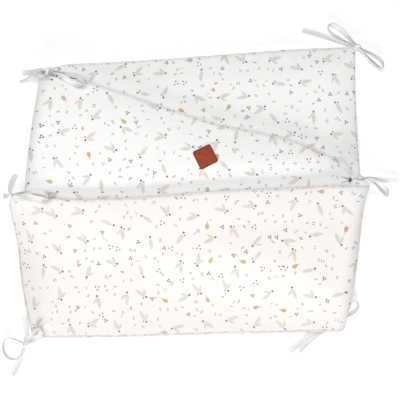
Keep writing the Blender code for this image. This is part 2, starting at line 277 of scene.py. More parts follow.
def buildScatter():
    # Points strewn over the cloth, each with its own turned coordinates and two chances
    given, result = newGroup(
        "strewn", {"Vector": "vector", "Spacing": "number", "Spread": "number"},
        {"Local": "vector", "Point": "vector", "Tint": "number", "Kind": "number"})
    inputs = {"Vector": given["Vector"], "Scale": calc("DIVIDE", 1.0, given["Spacing"]),
              "Randomness": given["Spread"]}
    cells = wired("TexVoronoi", inputs, voronoi_dimensions="2D").outputs
    chances = wired("SeparateColor", {0: cells["Color"]}).outputs
    local = calcVector("SUBTRACT", given["Vector"], cells["Position"])
    local = spun(local, times(chances["Red"], 2 * pi))
    for label, value in (("Local", local), ("Point", cells["Position"]),
                         ("Tint", chances["Green"]), ("Kind", chances["Blue"])):
        feed(result[label], value)


def buildPetal():
    # A leaf shape along X: half its width is Width * t^Blunt * (1-t)^Taper from base to tip
    given, result = newGroup(
        "petal", {"Local": "vector", "Length": "number", "Width": "number", "Blunt": "number",
                  "Taper": "number", "Bend": "number"}, {"Mask": "number"})
    x, y = apart(given["Local"])
    t = calc("ADD", calc("DIVIDE", x, given["Length"]), 0.5, clamped=True)
    y = minus(y, times(x, x, given["Bend"]))
    half = times(calc("POWER", t, given["Blunt"]),
                 calc("POWER", minus(1.0, t), given["Taper"]), given["Width"])
    inside = minus(half, unsigned(y))
    feed(result["Mask"], ramped(inside, 0.0, printing["petalEdge"]))


def buildBerry():
    given, result = newGroup(
        "berry", {"Local": "vector", "Centre": "vector", "Radius": "number"}, {"Mask": "number"})
    away = calcVector("DISTANCE", given["Local"], given["Centre"])
    inside = minus(given["Radius"], away)
    feed(result["Mask"], ramped(inside, -printing["dotEdge"], printing["dotEdge"]))


def petal(local, length, width, blunt=0.5, taper=0.5, bend=0.0):
    peak = (blunt / (blunt + taper)) ** blunt * (taper / (blunt + taper)) ** taper
    return placed("petal", Local=local, Length=length, Width=width / 2 / peak,
                  Blunt=blunt, Taper=taper, Bend=bend)["Mask"]


def berry(local, centre, radius):
    return placed("berry", Local=local, Centre=(*centre, 0.0), Radius=radius)["Mask"]


printing = {
    # how far apart each kind is strewn, how unevenly, and the room that it keeps
    "strewn": {"sprig": (0.056, 0.60, 0.0215), "bud": (0.080, 0.75, 0.011), "crumb": (0.0184, 0.85, 0.0)},
    "budFromSprig": -0.003,  # the room more or less that a bud and a crumb need
    "crumbFromBud": 0.002,
    # length, width, bluntness at the base, taper at the tip, bend
    "petals": {
        "longLeaf": (0.025, 0.0084, 0.75, 0.95), "shortLeaf": (0.017, 0.0058, 0.75, 0.95),
        "largeBud": (0.0125, 0.0082, 0.45, 0.70), "smallBud": (0.0085, 0.0044),
        "stem": (0.008, 0.0018), "dab": (0.0076, 0.0046),
        "dash": (0.0070, 0.0021, 0.5, 0.5, 30.0), "fleck": (0.0068, 0.0028, 0.5, 0.5, 40.0),
    },
    # centre, radius
    "dots": {
        "sideBerry": ((-0.0022, 0.0016), 0.0021), "tipBerry": ((-0.0004, -0.0042), 0.0015),
        "tightDots": ((0.0026, 0.0), 0.00165), "looseDots": ((0.0040, 0.0), 0.00150),
    },
    "petalEdge": 0.0005, "dotEdge": 0.0003,  # how soft their outlines are
    "leafJoint": 0.0095,  # how far behind a sprig's middle its leaves meet
    "leaves": (("longLeaf", 0.30, 0.0125), ("shortLeaf", -0.50, 0.0095)),  # turn, how far out
    "stemPlace": (0.007, 0.0006, 0.0),
    "dashPlace": 0.0020,  # to each side
    # the chance above which there is a second leaf or berry, and a bud is large
    "secondLeaf": 0.25, "secondBerry": 0.45, "largeBud": 0.42,
    # the range of chances of each kind of crumb, and the chance above which it has another ink
    "crumbs": {"tightDots": (0.0, 0.09), "looseDots": (0.09, 0.17), "dash": (0.17, 0.31),
               "dab": (0.31, 0.70), "fleck": (0.70, 0.94)},
    "mossy": 0.84, "clayey": 0.5,
    # how well the ink covers
    "cover": {"dab": 0.66, "fleck": 0.85, "dash": 0.80, "dots": 0.90,
              "leaf": 0.80, "stem": 0.85, "bud": 0.90, "berry": 0.92},
    "leaf": (0.56, 0.55, 0.46), "leafWarm": (0.63, 0.545, 0.48),
    "ochre": (0.58, 0.315, 0.085), "straw": (0.56, 0.44, 0.19),
    "dark": (0.045, 0.045, 0.060), "mist": (0.37, 0.39, 0.42),
    "moss": (0.40, 0.46, 0.27), "clay": (0.46, 0.33, 0.26),
    "tints": (0.2, 0.8),
    "leafMottle": (140.0, 0.3, 0.7, 0.60, 1.0),
    # a painted warm light cast on the front panel's cloth, a little darker too, and weaker beside its
    # upper seam
    "cloth": (0.895, 0.893, 0.89), "paintedWarmCast": (0.890, 0.845, 0.822),
    "blushFrom": 1.62, "blushTo": 1.72, "blushEnd": 2.6,
    "warmCastSides": (0.50, 0.42, 0.40, 1.0), "warmCastMottle": (7.0, 0.3, 0.7, 0.55, 1.0),
}


def frontPanel(along):
    # 1 on the upper cover of the front panel
    return times(ramped(along, printing["blushFrom"], printing["blushTo"]),
                 below(along, printing["blushEnd"]))


def buildPrint():
    # A small all-over print: leaves with a berry, buds, and crumbs between them, on cloth with a painted
    # warm light cast over the front panel
    given, result = newGroup("leafPrintWarmCast", {"Vector": "vector"}, {"Color": "colour"})
    cloth = given["Vector"]

    def strewn(vector, kind):
        spacing, spread = printing["strewn"][kind][:2]
        return placed("strewn", Vector=vector, Spacing=spacing, Spread=spread)

    def clearOf(point, kind, more=0.0):
        # 1 where no motif of this kind lies near the point
        away = calcVector("LENGTH", strewn(point, kind)["Local"])
        return above(away, printing["strewn"][kind][2] + more)

    def shaped(name, local):
        return petal(local, *printing["petals"][name])

    def dotted(name, local):
        return berry(local, *printing["dots"][name])

    def tinted(low, high, tint):
        return painted(ramped(tint, *printing["tints"]), printing[low], printing[high])

    # sprigs
    sprig = strewn(cloth, "sprig")
    joint = calcVector("ADD", sprig["Local"], (printing["leafJoint"], 0.0, 0.0))
    longLeaf, shortLeaf = [
        shaped(name, calcVector("SUBTRACT", spun(joint, turn), (out, 0.0, 0.0)))
        for name, turn, out in printing["leaves"]]
    shortLeaf = times(shortLeaf, above(sprig["Kind"], printing["secondLeaf"]))
    leaf = times(either(longLeaf, shortLeaf), mottled(cloth, *printing["leafMottle"]))
    tip = times(dotted("tipBerry", joint), above(sprig["Tint"], printing["secondBerry"]))
    berries = either(dotted("sideBerry", joint), tip)

    # buds
    bud = strewn(cloth, "bud")
    room = clearOf(bud["Point"], "sprig", printing["budFromSprig"])
    large = above(bud["Kind"], printing["largeBud"])
    body = times(shaped("largeBud", bud["Local"]), large)
    stemLocal = calcVector("SUBTRACT", bud["Local"], printing["stemPlace"])
    stem = times(shaped("stem", stemLocal), large, room)
    small = times(shaped("smallBud", bud["Local"]), minus(1.0, large))
    buds = times(either(body, small), room)

    # crumbs, which may lie where a bud is left out
    crumb = strewn(cloth, "crumb")
    noBud = minus(1.0, clearOf(strewn(crumb["Point"], "bud")["Point"], "sprig",
                               printing["budFromSprig"]))
    room = times(clearOf(crumb["Point"], "sprig"),
                 either(clearOf(crumb["Point"], "bud", printing["crumbFromBud"]), noBud))
    x, y = apart(crumb["Local"])
    third = 2 * pi / 3  # three dots are one dot, folded about the crumb's middle
    turn = minus(calc("FLOORED_MODULO", calc("ARCTAN2", y, x), third), third / 2)
    reach = calcVector("LENGTH", crumb["Local"])
    folded = joined(times(reach, calc("COSINE", turn)),
                    times(reach, calc("SINE", turn)))
    pair = joined(x, minus(unsigned(y), printing["dashPlace"]))
    crumbs = {
        "tightDots": dotted("tightDots", folded), "looseDots": dotted("looseDots", folded),
        "dash": shaped("dash", pair), "dab": shaped("dab", crumb["Local"]),
        "fleck": shaped("fleck", crumb["Local"]),
    }
    for name, (low, high) in printing["crumbs"].items():
        crumbs[name] = times(crumbs[name], above(crumb["Kind"], low),
                             below(crumb["Kind"], high), room)
    dots = either(crumbs["tightDots"], crumbs["looseDots"])
    dabInk, fleckInk = [
        painted(above(crumb["Tint"], printing[limit]), printing[low], printing[high])
        for limit, low, high in (("mossy", "mist", "moss"), ("clayey", "straw", "clay"))]

    # the cloth with its painted warm light cast, and the inks over it
    along, side = apart(cloth)
    warmLightCast = times(frontPanel(along), ramped(side, *printing["warmCastSides"]),
                  mottled(cloth, *printing["warmCastMottle"]))
    colour = painted(warmLightCast, printing["cloth"], printing["paintedWarmCast"])
    layers = (
        ("dab", crumbs["dab"], dabInk), ("fleck", crumbs["fleck"], fleckInk),
        ("dash", crumbs["dash"], tinted("dark", "mist", crumb["Tint"])), ("dots", dots, printing["dark"]),
        ("leaf", leaf, tinted("leaf", "leafWarm", sprig["Tint"])), ("stem", stem, printing["clay"]),
        ("bud", buds, tinted("ochre", "straw", bud["Tint"])), ("berry", berries, printing["dark"]),
    )
    for name, mask, ink in layers:
        colour = painted(times(mask, printing["cover"][name]), colour, ink)
    feed(result["Color"], colour)


for build in (buildWeave, buildScatter, buildPetal, buildBerry, buildPrint):
    build()


# ---- materials ----

materials = {}


def newMaterial(name, **constants):
    made = bpy.data.materials.new(name)
    made.use_nodes = True
    shader = made.node_tree.nodes["Principled BSDF"]
    for label, value in constants.items():
        shader.inputs[label.replace("_", " ")].default_value = value
    materials[name] = made
    return made.node_tree, shader.inputs


def clothPlace(tree):
    return wired("UVMap", {}, tree, uv_map="cloth").outputs["UV"]


def bumped(sockets, height, strength):
    node = wired("Bump", {"Strength": strength, "Distance": 1.0, "Height": height})
    feed(sockets["Normal"], node.outputs["Normal"])


cotton = {
    "threads": 1500.0, "threadShare": 0.05, "threadShade": (0.55, 0.54, 0.53),
    "border": (0.0, 0.075, 0.20, 0.0),  # painted shade inwards from the front panel's seams, where its rounded edges turn from the light
    "borderShade": (0.55, 0.52, 0.50),
    "seamWander": (45.0, 0.0016),
    "stitchLine": 0.0042,  # its distance from the seam
    # painted shade in the groove along the stitching and into the seams
    "stitchGrooveShade": (0.0002, 0.0020, 1.0, 0.0), "stitchMottle": (110.0, 0.40, 0.62, 0.15, 1.0),
    "stitchShare": 0.16, "seamShade": (0.0, 0.0080, 0.06, 0.0),
    "lowerSide": 0.40, "lowerShade": 2.3,  # the painted seam shade is stronger on the front panel's lower part
    "creaseShade": (0.055, 0.048, 0.046), "creaseDepth": 0.0020,
    "crumple": (60.0, 3.0, 0.55), "crumpleHeight": 0.0012, "weaveHeight": 0.00008, "relief": 0.6,
    # narrow folds where the ties pull, with painted shade in them: place in the cloth, turn, length,
    # width, how dark the painted shade is
    "folds": (
        ((3.6000, 1.5040), 176, 0.022, 0.0034, 0.50), ((3.5990, 1.4965), 150, 0.020, 0.0030, 0.42),
        ((3.5890, 1.5035), 80, 0.0100, 0.0066, 0.93), ((3.5895, 1.5030), 60, 0.0160, 0.0120, 0.22),
        ((2.3025, 0.2455), 142, 0.020, 0.0030, 0.20), ((2.2900, 0.2460), 44, 0.017, 0.0028, 0.17),
    ),
}


def makePrintedCotton():
    tree, sockets = newMaterial("printed_cotton", Roughness=0.86, Sheen_Weight=0.12, Sheen_Roughness=0.6)
    place = clothPlace(tree)
    along, side = apart(place)
    onFront = frontPanel(along)
    fromSeam = wired("Attribute", {}, tree, attribute_name="fromSeam").outputs["Fac"]
    weave = placed("plainWeave", Vector=place, Threads=cotton["threads"])
    colour = placed("leafPrintWarmCast", Vector=place)["Color"]
    shade = times(weave["Shade"], cotton["threadShare"])
    colour = painted(shade, colour, cotton["threadShade"])
    # painted shade that deepens towards the front panel's seams
    border = times(onFront, ramped(fromSeam, *cotton["border"]))
    colour = painted(border, colour, cotton["borderShade"])

    # painted shade in the creases: in the groove along the stitching, into the seam itself and in the
    # narrow folds; the same mask sinks the bump there
    scale, wander = cotton["seamWander"]
    fromSeam = plus(fromSeam, times(grainy(place, scale), wander))
    stitchGrooveShade = unsigned(minus(fromSeam, cotton["stitchLine"]))
    stitchGrooveShade = times(ramped(stitchGrooveShade, *cotton["stitchGrooveShade"]),
                     mottled(place, *cotton["stitchMottle"]), cotton["stitchShare"])
    creaseShadeMask = plus(stitchGrooveShade, ramped(fromSeam, *cotton["seamShade"]))
    lower = times(onFront, below(side, cotton["lowerSide"]))
    creaseShadeMask = times(creaseShadeMask, ramped(lower, 0.0, 1.0, 1.0, cotton["lowerShade"]))
    # painted shade in the narrow folds
    for spot, turn, length, width, depth in cotton["folds"]:
        local = spun(calcVector("SUBTRACT", place, (*spot, 0.0)), radians(-turn))
        creaseShadeMask = either(creaseShadeMask, times(petal(local, length, width), depth))
    feed(sockets["Base Color"], painted(creaseShadeMask, colour, cotton["creaseShade"]))
    height = plus(times(weave["Height"], cotton["weaveHeight"]),
                  times(grainy(place, *cotton["crumple"]), cotton["crumpleHeight"]))
    height = minus(height, times(creaseShadeMask, cotton["creaseDepth"]))
    bumped(sockets, height, cotton["relief"])


webbing = {
    "threads": 900.0, "threadShare": 0.10,
    "colour": (0.82, 0.82, 0.815), "threadShade": (0.62, 0.61, 0.60),
    "ribs": 4200.0,  # slanting to both sides of the middle
    "ribHeight": 0.00006, "weaveHeight": 0.00012, "relief": 0.7,
}


def makeCottonTape():
    tree, sockets = newMaterial("cotton_tape", Roughness=0.82, Sheen_Weight=0.15, Sheen_Roughness=0.5)
    place = clothPlace(tree)
    weave = placed("plainWeave", Vector=place, Threads=webbing["threads"])
    x, y = apart(place)
    ribs = calc("SINE", times(plus(x, unsigned(y)), webbing["ribs"]))
    shade = times(weave["Shade"], webbing["threadShare"])
    feed(sockets["Base Color"], painted(shade, webbing["colour"], webbing["threadShade"]))
    height = plus(times(weave["Height"], webbing["weaveHeight"]),
                  times(ribs, webbing["ribHeight"]))
    bumped(sockets, height, webbing["relief"])


leather = {
    "dark": (0.235, 0.028, 0.009), "light": (0.37, 0.064, 0.016), "blotch": (130.0, 4.0, 0.6),
    "fine": (900.0, 3.0, 0.6), "flecks": (0.35, 0.75, 0.0, 0.35), "fleckShade": (0.17, 0.032, 0.016),
    "edge": (0.0010, 0.0030, 1.0, 0.0), "edgeWander": 0.0006,
    "edgeShare": 0.85, "edgeShade": (0.085, 0.025, 0.015),
    "roughness": (0.3, 0.7, 0.48, 0.66),
    "grain": 1100.0, "grainHeight": 0.00010,
    "grooveFromEdge": 0.0020, "grooveWidth": 0.0004, "grooveDepth": 0.00020, "relief": 0.8,
}


def makeLeather():
    tree, sockets = newMaterial("leather", Specular_IOR_Level=0.20)
    place = clothPlace(tree)
    reach = patch["side"] / 2 - patch["corner"]
    x, y = [either(minus(unsigned(axis), reach), 0.0) for axis in apart(place)]
    corner = calc("SQRT", plus(calc("POWER", x, 2.0), calc("POWER", y, 2.0)))
    inside = minus(patch["corner"], corner)  # distance in from the cut edge
    blotch = grainy(place, *leather["blotch"])
    fine = grainy(place, *leather["fine"])
    colour = painted(ramped(blotch, 0.3, 0.7), leather["dark"], leather["light"])
    colour = painted(ramped(fine, *leather["flecks"]), colour, leather["fleckShade"])
    edge = ramped(plus(inside, times(blotch, leather["edgeWander"])), *leather["edge"])
    colour = painted(times(edge, leather["edgeShare"]), colour, leather["edgeShade"])
    feed(sockets["Base Color"], colour)
    feed(sockets["Roughness"], ramped(fine, *leather["roughness"]))
    grain = wired("TexVoronoi", {"Vector": place, "Scale": leather["grain"]})
    groove = unsigned(minus(inside, leather["grooveFromEdge"]))
    groove = ramped(groove, 0.0, leather["grooveWidth"])
    height = plus(times(grain.outputs["Distance"], leather["grainHeight"]),
                  times(groove, leather["grooveDepth"]))
    bumped(sockets, height, leather["relief"])


# ---- the padded band ----

band = {
    "length": 2.040,  # filled, from end seam to end seam
    "width": 0.287,  # filled, from long seam to long seam
    "thickness": 0.033,  # at the crown
    "seamThickness": 0.0012,
    "shoulder": 0.060,  # how far in from a seam the pad is still rising
    "shoulderRound": 2.4,
    "seamSteep": 0.62,
    "sideCrown": 0.90,
    "layerGap": 0.005,
    "settle": 0.0025,  # of its underside that is pressed flat
    "cornerRadius": 0.008,
    "backEndPull": 0.004,  # the middle of one end seam lies in, and that of the other out
    "frontEndPush": 0.012,
    "endReach": 0.12,
    "leftEars": (0.012, 0.012),  # how far a fold's lower and upper corner stick out
    "rightEars": (0.007, 0.017),
    "backEnd": (0.3248, 0.1709),
    "backHeading": 4.0,  # of the panels, degrees
    "middleHeading": -17.0,
    "frontHeading": 2.2,
    "backEndLean": -0.035,
    "frontEndLean": 0.075,
    "leftFoldAt": 0.640,
    "rightFoldAt": 1.330,
    "sagInside": 0.060,  # where it sags beside the layer below, from its edge
    "sagOutside": 0.080,
    "cell": 0.0050,  # of the cloth that is simulated
    "edgeWave": (0.0007, 0.030, 7),  # depth, size and seed
    "gathers": (0.0010, 0.022, 4),
    "gatherFrom": 0.006,  # in from the seam, where they are deepest, and how they fade
    "gatherFade": 0.025,
    "otherSide": 3.0,  # keeps the unevenness of two edges or covers from being the same
    "overPlace": (0.30, 0.40),  # of the two covers in the printed cloth
    "underPlace": (4.9, 1.40),
}
# pulls on the filled band: place along and to its side, reach, how far up, on which cover
pulls = (
    ((1.3110, 0.1035), 0.0048, -0.0065, 0.0), ((1.2990, 0.0990), 0.0065, 0.0012, -1.0),
    ((1.9955, -0.1520), 0.0065, 0.0018, 1.0), ((2.0060, -0.1600), 0.0060, -0.0014, 1.0),
)
# place along the band, sideways drift, extra width, fullness of the padding
sections = np.array((
    (0.000, 0.0005, 0.0020, 0.92), (0.150, 0.0037, 0.0020, 0.98), (0.300, 0.0025, 0.0020, 1.00),
    (0.440, 0.0022, 0.0020, 0.99), (0.560, 0.0040, 0.0020, 0.98), (0.612, 0.0050, 0.0015, 0.96),
    (0.638, 0.0045, 0.0000, 0.93), (0.670, -0.0110, -0.0020, 0.86), (0.760, -0.0080, 0.0010, 0.96),
    (1.020, -0.0130, 0.0020, 1.00),
    (1.290, -0.0130, 0.0040, 0.98), (1.362, -0.0400, 0.0030, 0.88), (1.450, -0.0450, 0.0060, 0.97),
    (1.630, -0.0450, 0.0040, 1.00), (1.874, -0.0478, -0.0065, 0.98), (2.040, -0.0418, -0.0025, 0.92),
))
driftColumn, widenColumn, fullColumn = 1, 2, 3

bendRadius = (band["thickness"] + band["layerGap"]) / 2
backAlong = -heading(band["backHeading"])
middleAlong = heading(band["middleHeading"])
frontAlong = -heading(band["frontHeading"])
backAcross = np.array((backAlong[1], -backAlong[0]))
middleAcross = np.array((-middleAlong[1], middleAlong[0]))
leftOut = unit(backAlong - middleAlong)
rightOut = unit(middleAlong - frontAlong)
halfway = (band["leftFoldAt"] + band["rightFoldAt"]) / 2


def sectionValue(at, column):
    places, values = sections[:, 0], sections[:, column]
    slopes = np.gradient(values, places)
    slopes[[0, -1]] = 0.0
    at = np.clip(at, places[0], places[-1])
    left = np.clip(np.searchsorted(places, at, side="right") - 1, 0, len(places) - 2)
    span = places[left + 1] - places[left]
    t = (at - places[left]) / span
    rise = 3 * t**2 - 2 * t**3
    return ((1 - rise) * values[left] + rise * values[left + 1]
            + (t**3 - 2 * t**2 + t) * span * slopes[left] + (t**3 - t**2) * span * slopes[left + 1])


def turnOver(plan, anchor, out):
    past = np.maximum((plan - anchor) @ out, 0.0)
    angle = np.minimum(past / bendRadius, pi)
    reach = np.where(angle < pi, bendRadius * np.sin(angle), pi * bendRadius - past)
    return plan + (reach - past)[:, None] * out, angle


leftAnchor = np.array(band["backEnd"]) + band["leftFoldAt"] * backAlong


def onMiddleLine(at):
    return turnOver((np.array(band["backEnd"]) + at * backAlong)[None], leftAnchor, leftOut)[0][0]


rightAnchor = onMiddleLine(band["rightFoldAt"])
middleCentre = onMiddleLine(halfway)


def foldLean(out, along, across):
    return -(across @ out) / (along @ out)


def stationLean(station):
    places = (0.0, band["leftFoldAt"], band["rightFoldAt"], band["length"])
    leans = (band["backEndLean"], foldLean(leftOut, backAlong, backAcross),
             foldLean(rightOut, middleAlong, middleAcross), band["frontEndLean"])
    return np.interp(station, places, leans)


def heldUp(outside):
    return 1.0 - smoothStep((outside + band["sagInside"]) / (band["sagInside"] + band["sagOutside"]))


def beside(plan, place, at, along, across):
    fromPlace = plan - np.array(place)
    station = at + fromPlace @ along
    halfWidth = (band["width"] + sectionValue(station, widenColumn)) / 2
    return np.abs(fromPlace @ across - sectionValue(station, driftColumn)) - halfWidth


def midHeight(plan, leftAngle, rightAngle):
    pastBackEnd = (np.array(band["backEnd"]) - plan) @ backAlong
    besideBack = np.maximum(beside(plan, band["backEnd"], 0.0, backAlong, backAcross), pastBackEnd)
    besideMiddle = beside(plan, middleCentre, halfway, middleAlong, middleAcross)
    lift = (1 - np.cos(leftAngle)) * heldUp(besideBack) + (1 - np.cos(rightAngle)) * heldUp(besideMiddle)
    return band["thickness"] / 2 - band["settle"] + bendRadius * lift


def rising(inside):
    left = 1.0 - np.clip(inside / band["shoulder"], 0.0, 1.0)
    return (1.0 - left ** band["shoulderRound"]) ** band["seamSteep"]


def halfThickness(station, across, crownThickness):
    fromSide = (1.0 - np.abs(across)) * band["width"] / 2
    fromEnd = np.minimum(station, band["length"] - station)
    crown = band["sideCrown"] + (1.0 - band["sideCrown"]) * (1.0 - across**2)
    swell = rising(fromSide) * rising(fromEnd) * crown * sectionValue(station, fullColumn)
    return (band["seamThickness"] + (crownThickness - band["seamThickness"]) * swell) / 2


def flatPlaces(station, across):
    # Where the points of the open band lie, along it and to its side
    fromEnd = np.minimum(station, band["length"] - station)
    corner = np.clip(1.0 - fromEnd / band["cornerRadius"], 0.0, 1.0)
    rounding = band["cornerRadius"] * (1.0 - np.sqrt(1.0 - corner**2))
    halfWidth = (band["width"] + sectionValue(station, widenColumn)) / 2 - rounding
    seams = np.column_stack((station, np.sign(across) * band["otherSide"]))
    depth, size, seed = band["edgeWave"]
    halfWidth = halfWidth + depth * ripple(seams, size, seed)
    side = sectionValue(station, driftColumn) + across * halfWidth
    along = station + stationLean(station) * across * halfWidth
    shift = np.where(station < halfway, band["backEndPull"], band["frontEndPush"])
    along = along + shift * (1.0 - across**2) * (1.0 - smoothStep(fromEnd / band["endReach"]))
    return along, side


def foldUp(along, side, offset, across):
    # Folds the open band up: along, side and height above its middle sheet become a place
    plan = np.array(band["backEnd"]) + along[:, None] * backAlong + side[:, None] * backAcross
    plan, leftAngle = turnOver(plan, leftAnchor, leftOut)
    folded, rightAngle = turnOver(plan, rightAnchor, rightOut)
    late = along > halfway
    plan = np.where(late[:, None], folded, plan)
    rightAngle = np.where(late, rightAngle, 0.0)
    height = midHeight(plan, leftAngle, rightAngle)
    onRight = rightAngle > 0
    upright = np.where(onRight, -np.cos(rightAngle), np.cos(leftAngle))
    leftTurn = np.where(onRight, 0.0, np.sin(leftAngle))[:, None] * leftOut
    rightTurn = np.sin(rightAngle)[:, None] * rightOut
    plan = plan + offset[:, None] * (rightTurn - leftTurn)
    ears = np.where(across > 0, 1, 0)
    leftTurn *= np.array(band["leftEars"])[ears][:, None]
    rightTurn *= np.array(band["rightEars"])[ears][:, None]
    plan = plan + (across**4)[:, None] * (rightTurn + leftTurn)
    return np.column_stack((plan, np.maximum(height + offset * upright, 0.0)))


def openBand(crownThickness):
    # The open band as a flat closed pad, with its places in the cloth kept in layers
    columns = round(band["length"] / band["cell"])
    rows = round(band["width"] / band["cell"])
    mesh = bmesh.new()
    uv = mesh.loops.layers.uv.new("cloth")
    bmesh.ops.create_grid(mesh, x_segments=columns, y_segments=rows, size=1.0)
    front = list(mesh.verts)
    station = np.array([(v.co.x + 1) / 2 * band["length"] for v in front])
    across = np.array([v.co.y for v in front])
    grown = bmesh.ops.extrude_face_region(mesh, geom=mesh.faces[:])["geom"]
    back = [item for item in grown if isinstance(item, bmesh.types.BMVert)]
    order = {tuple(v.co): index for index, v in enumerate(front)}
    twin = np.array([order[tuple(v.co)] for v in back])
    mesh.verts.index_update()
    count = len(mesh.verts)
    facing, stations, sides = np.zeros(count), np.zeros(count), np.zeros(count)
    for verts, which, face in ((front, np.arange(len(front)), 1.0), (back, twin, -1.0)):
        index = [v.index for v in verts]
        facing[index], stations[index], sides[index] = face, station[which], across[which]
    along, side = flatPlaces(stations, sides)
    height = facing * halfThickness(stations, sides, crownThickness)
    inside = np.minimum((1 - np.abs(sides)) * band["width"] / 2,
                        np.minimum(stations, band["length"] - stations))
    # uneven gathers along the seams, from which the filling makes its puckers
    flat = np.column_stack((along, side + band["otherSide"] * facing))
    depth, size, seed = band["gathers"]
    gathers = ripple(flat, size, seed) * np.exp(-inside / band["gatherFade"])
    gathers = gathers * smoothStep(inside / band["gatherFrom"])
    height = height + depth * gathers * facing
    for v in mesh.verts:
        v.co = (along[v.index], side[v.index], height[v.index])
    bmesh.ops.recalc_face_normals(mesh, faces=mesh.faces)
    for face in mesh.faces:
        over = all(facing[v.index] > 0 for v in face.verts)
        for loop in face.loops:
            x, y = along[loop.vert.index], side[loop.vert.index]
            startX, startY = band["overPlace" if over else "underPlace"]
            loop[uv].uv = (startX + x if over else startX - x, startY + y)
    return mesh, sides, inside


filling = {
    "slim": 0.74,  # share of its thickness before it is filled
    "swell": 0.0050,  # the most that a point moves while it is filled
    "frames": 20,
    "cloth": {
        "quality": 5, "mass": 0.15, "vertex_group_mass": "seam",
        "tension_stiffness": 25.0, "compression_stiffness": 25.0, "shear_stiffness": 8.0,
        "bending_stiffness": 0.4, "use_pressure": True, "uniform_pressure_force": 4.0,
    },
}


def meshPoints(data):
    points = np.zeros(len(data.vertices) * 3, np.float32)
    data.vertices.foreach_get("co", points)
    return points.reshape(-1, 3)


def fillBand(made, inside):
    # Fills the flat pad by cloth simulation: its seams are held and the covers swell between them
    seam = made.vertex_groups.new(name="seam")
    seam.add([index for index, distance in enumerate(inside) if distance < 1e-4], 1.0, "REPLACE")
    before = meshPoints(made.data)
    modifier = made.modifiers.new("filling", "CLOTH")
    for label, value in filling["cloth"].items():
        setattr(modifier.settings, label, value)
    modifier.settings.effector_weights.gravity = 0.0
    modifier.point_cache.frame_start, modifier.point_cache.frame_end = 1, filling["frames"]
    for step in range(1, filling["frames"] + 1):
        bpy.context.scene.frame_set(step)
    moved = meshPoints(made.evaluated_get(bpy.context.evaluated_depsgraph_get()).data) - before
    distance = np.linalg.norm(moved, axis=1)
    print("filling moved points by up to", round(float(distance.max()) * 1000, 1), "mm")
    capped = filling["swell"] * np.tanh(distance / filling["swell"])
    moved *= (capped / np.maximum(distance, 1e-9))[:, None]
    made.modifiers.remove(modifier)
    bpy.context.scene.frame_set(1)
    made.vertex_groups.remove(seam)
    return before + moved


def makeBand():
    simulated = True
    mesh, across, inside = openBand(band["thickness"] * (filling["slim"] if simulated else 1.0))
    made = finishPiece("padded_band", mesh, "printed_cotton", "bumper")
    fromSeam = made.data.attributes.new("fromSeam", "FLOAT", "POINT")
    fromSeam.data.foreach_set("value", inside.astype(np.float32))
    points = fillBand(made, inside) if simulated else meshPoints(made.data)
    points = points.astype(float)
    cover = np.sign(points[:, 2])
    folded = foldUp(points[:, 0], points[:, 1], points[:, 2], across)
    for spot, reach, rise, which in pulls:
        away = np.linalg.norm(points[:, :2] - np.array(spot), axis=1)
        folded[:, 2] += rise * np.exp(-(away / reach) ** 2) * ((cover == which) | (which == 0.0))
    folded[:, 2] = np.maximum(folded[:, 2], 0.0)
    made.data.vertices.foreach_set("co", folded.astype(np.float32).ravel())
    made.data.update()
    smoothed(made)
    return made


# ---- the leather patch ----

patch = {
    "side": 0.039,
    "thickness": 0.0016,
    "corner": 0.0045,
    "turn": 26.5,
    "place": (0.0071, 0.0794),
    "cells": 16,
    "lift": 0.0007,
    "edgeRound": 0.0004,
}


def topAt(pad, x, y):
    return pad.ray_cast(Vector((x, y, 1.0)), Vector((0.0, 0.0, -1.0)))[0]


def makePatch(pad):
    mesh = bmesh.new()
    uv = mesh.loops.layers.uv.new("cloth")
    reach, corner = patch["side"] / 2, patch["corner"]
    bmesh.ops.create_grid(mesh, x_segments=patch["cells"], y_segments=patch["cells"], size=reach)
    for v in mesh.verts:  # rounds the corners off
        past = Vector((max(abs(v.co.x) - reach + corner, 0.0), max(abs(v.co.y) - reach + corner, 0.0)))
        if past.length > 0 and min(past) > 0:
            past = past.normalized() * max(past)
            v.co.x = (reach - corner + past.x) * (1 if v.co.x > 0 else -1)
            v.co.y = (reach - corner + past.y) * (1 if v.co.y > 0 else -1)
    for face in mesh.faces:
        for loop in face.loops:
            loop[uv].uv = loop.vert.co.xy
    turn = Matrix.Rotation(radians(patch["turn"]), 4, "Z")
    mesh.transform(Matrix.Translation((*patch["place"], 0.0)) @ turn)
    for v in mesh.verts:
        v.co.z = topAt(pad, v.co.x, v.co.y).z + patch["lift"]
    bmesh.ops.smooth_vert(mesh, verts=mesh.verts, factor=0.5, use_axis_z=True)
    made = finishPiece("leather_patch", mesh, "leather", "patch")
    thickened(made, patch["thickness"], 1.0)
    edge = made.modifiers.new("edge", "BEVEL")
    edge.width, edge.segments, edge.limit_method = patch["edgeRound"], 2, "ANGLE"
    return made


# ---- the tape ties ----

tape = {
    "width": 0.011,
    "thickness": 0.0009,
    "gathered": 0.5,  # share of its width that it keeps beside the knot
    "gatherReach": 0.016,
    "pleat": 0.0016,  # how deep it folds there
    "cup": 0.0012,
    "knotReach": 0.0068,
    "knotHeight": 0.0042,  # of its middle
    "wrap": (0.0040, 0.0044, 0.0040),  # half the width of the wound part, and its half axes
    "wrapDome": 0.25,  # share of its height that it loses at its edges
    "wrapSlant": 0.0012,
    "wrapCells": (6, 24),  # along the knot and round it
    "runsApart": 0.0017,
    "tailTwist": 0.25,
    "clearance": 0.0009,
    "loopRise": 0.0060,  # of the far end of a loop that lies on the pad
    "padRise": 0.010,  # how high the pad is below it where it rises in full
    "loopSteps": 72,
    "tailSteps": 40,
    "rootSteps": 8,
    "rootRoll": 20.0,
    "cellsAcross": 6,
    "drapeSlope": 0.9,
    "endNotch": 0.0012,
    "cutApart": 0.01,  # between two strands in the tape's own cloth
}
